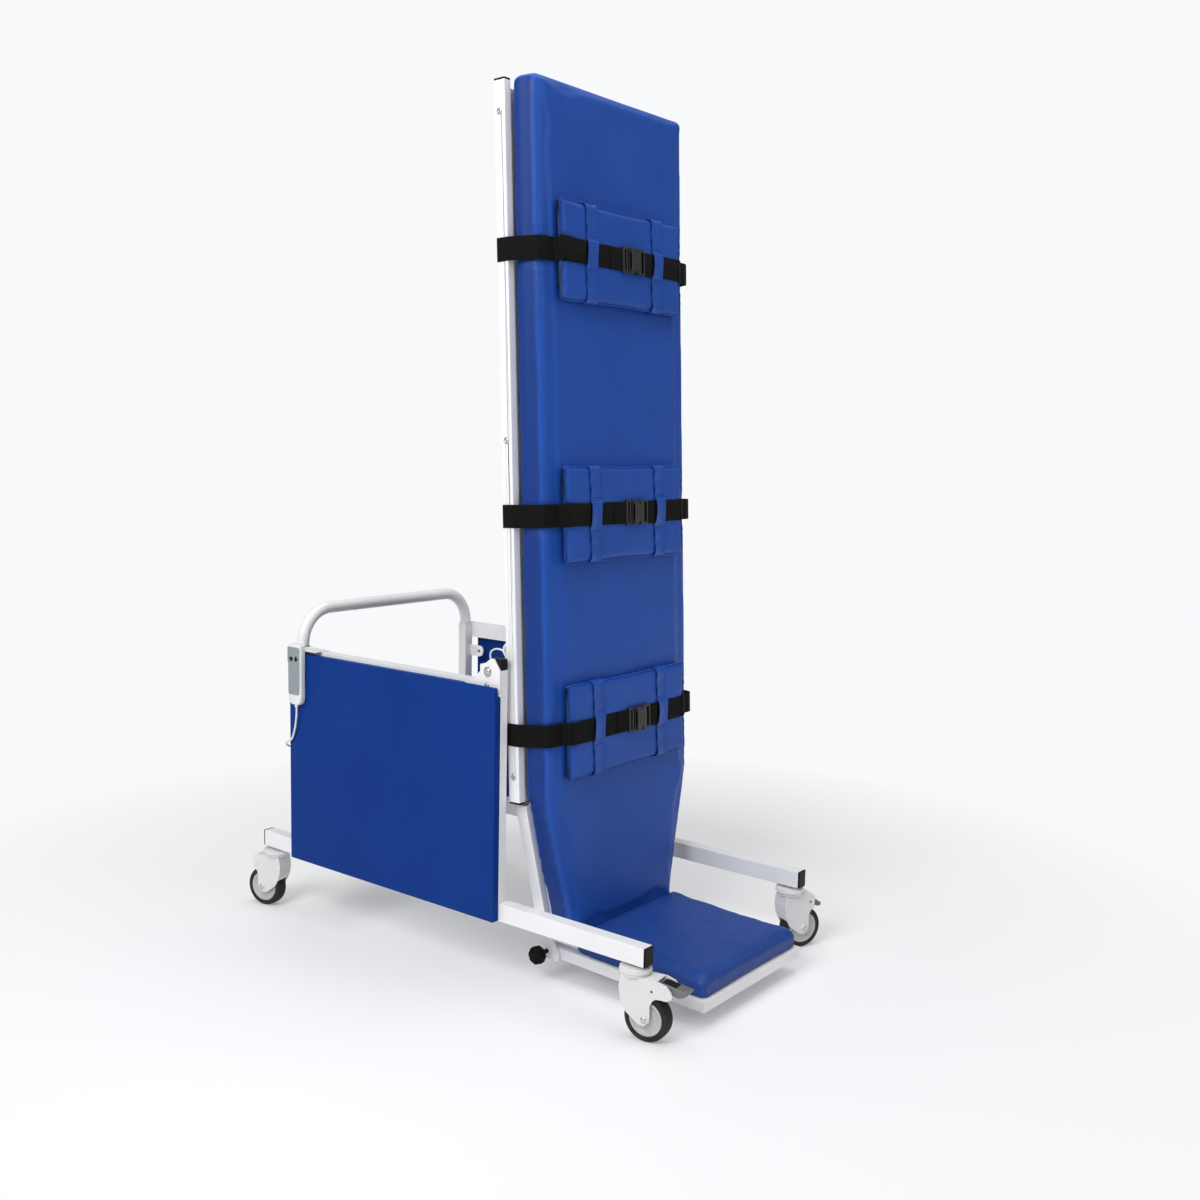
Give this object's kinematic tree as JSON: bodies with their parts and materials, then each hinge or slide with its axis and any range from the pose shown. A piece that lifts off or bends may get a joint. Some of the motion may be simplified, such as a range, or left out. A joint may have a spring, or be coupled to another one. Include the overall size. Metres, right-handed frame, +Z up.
{
  "type": "physiotherapy tilt table",
  "caption": "Electric physiotherapy tilt table: padded board with straps and pads that tilts on a wheeled steel base, with a hinged footboard, side panels, push handle and handset.",
  "frame": {"origin": "on the floor under the middle of the whole table's box, with the board stored upright", "axes": "+Z up, -Y towards the footboard, +X to the side away from the handset"},
  "size_m": [0.7596, 1.3534, 1.9642],
  "materials": {
    "white_steel": "gloss white powder coat",
    "black_plastic": "matt black moulded plastic",
    "blue_panel": "satin blue lacquered board",
    "blue_vinyl": "blue vinyl-coated upholstery cloth over foam",
    "zinc": "zinc plated",
    "aluminium": "dark painted casting",
    "white_plastic": "white moulded plastic",
    "grey_plastic": "grey moulded plastic",
    "plywood": "dark stained plywood",
    "webbing": "black woven webbing",
    "tyre_rubber": "dark grey rubber"
  },
  "bodies": {
    "base": {"base_rails": "white_steel", "rail_end_caps": "black_plastic", "front_posts": "white_steel", "rear_posts": "white_steel", "top_rails": "white_steel", "post_caps": "black_plastic", "side_panel_near": "blue_panel", "side_panel_far": "blue_panel", "push_handle": "white_steel", "pivot_beam": "white_steel", "pivot_pins": "zinc", "gussets": "white_steel", "gusset_bolts": "zinc", "cross_members": "white_steel", "control_box": "black_plastic", "mains_inlet": "black_plastic", "handset_holder": "white_plastic", "loop_cable": "white_plastic", "caster_stems": "zinc", "handset_shell": "white_plastic", "handset_face": "grey_plastic", "handset_cord": "white_plastic"},
    "board": {"side_rails": "white_steel", "side_rail_caps": "black_plastic", "side_rail_bolts": "zinc", "board_tubes": "white_steel", "foot_taper_tubes": "white_steel", "board_cross_tubes": "white_steel", "backboard": "plywood", "mattress": "blue_vinyl", "tilt_brackets": "white_steel", "foot_brackets": "white_steel", "straps": "webbing", "strap_pads": "blue_vinyl", "buckles": "black_plastic"},
    "footboard": {"foot_frame": "white_steel", "foot_cushion": "blue_vinyl"},
    "knob_near_body": {"knob_near": "black_plastic"},
    "knob_far_body": {"knob_far": "black_plastic"},
    "drive_case": {"actuator_body": "aluminium"},
    "drive_rod": {"actuator_rod": "zinc"},
    "button_up": {"handset_button_up": "black_plastic"},
    "button_down": {"handset_button_down": "black_plastic"},
    "swivel_nf": {"fork_nf": "white_plastic"},
    "wheel_nf": {"hub_nf": "grey_plastic", "tyre_nf": "tyre_rubber"},
    "brake_nf": {"pedal_nf": "grey_plastic"},
    "swivel_ff": {"fork_ff": "white_plastic"},
    "wheel_ff": {"hub_ff": "grey_plastic", "tyre_ff": "tyre_rubber"},
    "brake_ff": {"pedal_ff": "grey_plastic"},
    "swivel_nr": {"fork_nr": "white_plastic"},
    "wheel_nr": {"hub_nr": "grey_plastic", "tyre_nr": "tyre_rubber"},
    "swivel_fr": {"fork_fr": "white_plastic"},
    "wheel_fr": {"hub_fr": "grey_plastic", "tyre_fr": "tyre_rubber"}
  },
  "joints": [
    {"name": "board_tilt", "type": "hinge", "parent": "base", "child": "board", "pos_m": [-0.01436, -0.10333, 0.735], "axis": [-1, 0, 0], "range_deg": [0, 87.45]},
    {"name": "footboard_angle", "type": "hinge", "parent": "board", "child": "footboard", "pos_m": [-0.01436, -0.2263, 0.0628], "axis": [-1, 0, 0], "range_deg": [-4, 15]},
    {"name": "knob_near_turn", "type": "hinge", "parent": "board", "child": "knob_near_body", "pos_m": [-0.23436, -0.2263, 0.0628], "axis": [-1, 0, 0], "continuous": true},
    {"name": "knob_far_turn", "type": "hinge", "parent": "board", "child": "knob_far_body", "pos_m": [0.20564, -0.2263, 0.0628], "axis": [1, 0, 0], "continuous": true},
    {"name": "drive_swing", "type": "hinge", "parent": "base", "child": "drive_case", "pos_m": [-0.01436, 0.37217, 0.242], "axis": [1, 0, 0], "range_deg": [-0.6, 0.1]},
    {"name": "drive_extend", "type": "slide", "parent": "drive_case", "child": "drive_rod", "axis": [0, -0.6464, 0.763], "range_m": [-0.0905, 0.0005]},
    {"name": "button_up_press", "type": "slide", "parent": "base", "child": "button_up", "axis": [1, 0, 0], "range_m": [0, 0.0012], "stiffness_N_per_m": 400, "springref_m": -0.0005},
    {"name": "button_down_press", "type": "slide", "parent": "base", "child": "button_down", "axis": [1, 0, 0], "range_m": [0, 0.0012], "stiffness_N_per_m": 400, "springref_m": -0.0005},
    {"name": "swivel_nf_turn", "type": "hinge", "parent": "base", "child": "swivel_nf", "pos_m": [-0.32636, -0.55083, 0.13], "axis": [0, 0, 1], "continuous": true},
    {"name": "wheel_nf_roll", "type": "hinge", "parent": "swivel_nf", "child": "wheel_nf", "pos_m": [-0.32152, -0.58246, 0.05], "axis": [0.9885, 0.1513, 0], "continuous": true},
    {"name": "brake_nf_press", "type": "hinge", "parent": "swivel_nf", "child": "brake_nf", "pos_m": [-0.3191, -0.59828, 0.113], "axis": [0.9885, 0.1513, 0], "range_deg": [0, 10]},
    {"name": "swivel_ff_turn", "type": "hinge", "parent": "base", "child": "swivel_ff", "pos_m": [0.29764, -0.55083, 0.13], "axis": [0, 0, 1], "continuous": true},
    {"name": "wheel_ff_roll", "type": "hinge", "parent": "swivel_ff", "child": "wheel_ff", "pos_m": [0.3264, -0.56486, 0.05], "axis": [0.4384, 0.8988, 0], "continuous": true},
    {"name": "brake_ff_press", "type": "hinge", "parent": "swivel_ff", "child": "brake_ff", "pos_m": [0.34078, -0.57187, 0.113], "axis": [0.4384, 0.8988, 0], "range_deg": [0, 10]},
    {"name": "swivel_nr_turn", "type": "hinge", "parent": "base", "child": "swivel_nr", "pos_m": [-0.32636, 0.59417, 0.13], "axis": [0, 0, 1], "continuous": true},
    {"name": "wheel_nr_roll", "type": "hinge", "parent": "swivel_nr", "child": "wheel_nr", "pos_m": [-0.33301, 0.62547, 0.05], "axis": [-0.9781, -0.2079, 0], "continuous": true},
    {"name": "swivel_fr_turn", "type": "hinge", "parent": "base", "child": "swivel_fr", "pos_m": [0.29764, 0.59417, 0.13], "axis": [0, 0, 1], "continuous": true},
    {"name": "wheel_fr_roll", "type": "hinge", "parent": "swivel_fr", "child": "wheel_fr", "pos_m": [0.29764, 0.62617, 0.05], "axis": [-1, 0, 0], "continuous": true}
  ],
  "couplings": [
    {"joint": "drive_extend", "follows": "board_tilt", "m_per_rad": -0.058749},
    {"joint": "drive_swing", "follows": "board_tilt", "ratio": -0.005539}
  ]
}
